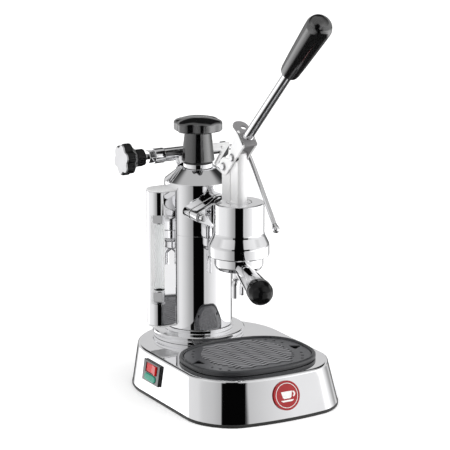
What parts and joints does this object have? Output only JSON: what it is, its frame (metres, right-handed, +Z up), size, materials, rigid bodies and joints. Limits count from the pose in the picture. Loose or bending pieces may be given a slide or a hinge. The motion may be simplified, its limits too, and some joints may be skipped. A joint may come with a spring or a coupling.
{
  "type": "lever espresso machine",
  "caption": "Small chrome lever espresso machine with an upright boiler, water gauge, steam wand and knob, lever group, portafilter and a drip tray on a pressed base.",
  "frame": {"origin": "underside of the base plate, below the boiler's axis", "axes": "+Z up along the boiler, -Y towards the front with the drip tray, +X to the machine's right as seen from the front"},
  "size_m": [0.193, 0.3501, 0.4747],
  "materials": {
    "chrome_plate": "polished chrome plate",
    "brass": "machined",
    "steel": "satin",
    "bakelite": "gloss black",
    "black_plastic": "satin dark grey",
    "trim_rubber": "matt black",
    "seal_rubber": "matt black",
    "glass": "clear",
    "knob_metal": "satin",
    "red_plastic": "gloss red",
    "green_lens": "translucent green",
    "red_enamel": "glossy red enamel"
  },
  "bodies": {
    "machine": {"base_shell": "chrome_plate", "base_trim": "trim_rubber", "base_plate": "black_plastic", "cable_gland": "black_plastic", "switch_housing": "black_plastic", "pilot_lens": "green_lens", "badge": "red_enamel", "boiler_ring": "chrome_plate", "boiler_shell": "chrome_plate", "element_flange": "brass", "heating_element": "steel", "thermostat": "steel", "filler_neck": "chrome_plate", "gauge_guard": "chrome_plate", "gauge_top_plate": "chrome_plate", "gauge_bottom_plate": "chrome_plate", "gauge_tube": "glass", "gauge_fitting_upper": "chrome_plate", "gauge_fitting_lower": "chrome_plate", "gauge_nut_upper": "chrome_plate", "gauge_nut_lower": "chrome_plate", "group_body": "chrome_plate", "boiler_flange": "chrome_plate", "flange_gasket": "seal_rubber", "flange_nut_left": "chrome_plate", "flange_nut_right": "chrome_plate", "cylinder_sleeve": "brass", "gland_bush": "brass", "shower_screen": "steel", "group_gasket": "seal_rubber", "fulcrum_pin": "steel", "steam_valve_body": "chrome_plate", "valve_bracket": "chrome_plate", "packing_nut": "chrome_plate", "wand_nut": "chrome_plate", "safety_valve": "brass"},
    "lever": {"lever_fork": "chrome_plate", "lever_rod": "chrome_plate", "lever_grip": "bakelite", "piston_pin": "steel"},
    "plunger": {"piston": "brass", "piston_seal_upper": "seal_rubber", "piston_seal_lower": "seal_rubber", "piston_rod": "chrome_plate"},
    "portafilter": {"portafilter_body": "chrome_plate", "portafilter_grip": "bakelite", "spout": "chrome_plate", "filter_basket": "steel"},
    "cap": {"cap_knob": "bakelite", "cap_insert": "brass", "cap_gasket": "seal_rubber"},
    "steam_handwheel": {"valve_stem": "steel", "steam_knob": "bakelite", "knob_face": "knob_metal"},
    "wand": {"steam_wand": "chrome_plate", "wand_tip": "chrome_plate"},
    "tray": {"drip_tray": "black_plastic"},
    "grille": {"drip_grille": "black_plastic"},
    "rocker": {"switch_rocker": "red_plastic"}
  },
  "joints": [
    {"name": "lever_hinge", "type": "hinge", "parent": "machine", "child": "lever", "pos_m": [0, -0.078, 0.2718], "axis": [1, 0, 0], "range_deg": [-3, 62]},
    {"name": "piston_slide", "type": "slide", "parent": "machine", "child": "plunger", "axis": [0, 0, 1], "range_m": [-0.028, 0.003]},
    {"name": "portafilter_turn", "type": "hinge", "parent": "machine", "child": "portafilter", "pos_m": [0, -0.098, 0.158], "axis": [0, 0, 1], "range_deg": [-45, 10]},
    {"name": "cap_turn", "type": "hinge", "parent": "machine", "child": "cap", "pos_m": [0, 0, 0.263], "axis": [0, 0, 1], "continuous": true},
    {"name": "steam_turn", "type": "hinge", "parent": "machine", "child": "steam_handwheel", "pos_m": [-0.048, 0.034, 0.266], "axis": [-1, 0, 0], "range_deg": [0, 540]},
    {"name": "wand_swivel", "type": "hinge", "parent": "machine", "child": "wand", "pos_m": [0.048, 0.034, 0.266], "axis": [1, 0, 0], "range_deg": [-30, 30]},
    {"name": "tray_lift", "type": "slide", "parent": "machine", "child": "tray", "axis": [0, 0, 1], "range_m": [0, 0.03]},
    {"name": "grille_lift", "type": "slide", "parent": "tray", "child": "grille", "axis": [0, 0, 1], "range_m": [0, 0.025]},
    {"name": "rocker_tilt", "type": "hinge", "parent": "machine", "child": "rocker", "pos_m": [-0.08993, -0.057, 0.03461], "axis": [0.1473, 0, 0.9891], "range_deg": [0, 12]}
  ],
  "couplings": [
    {"joint": "piston_slide", "follows": "lever_hinge", "m_per_rad": -0.0234}
  ]
}
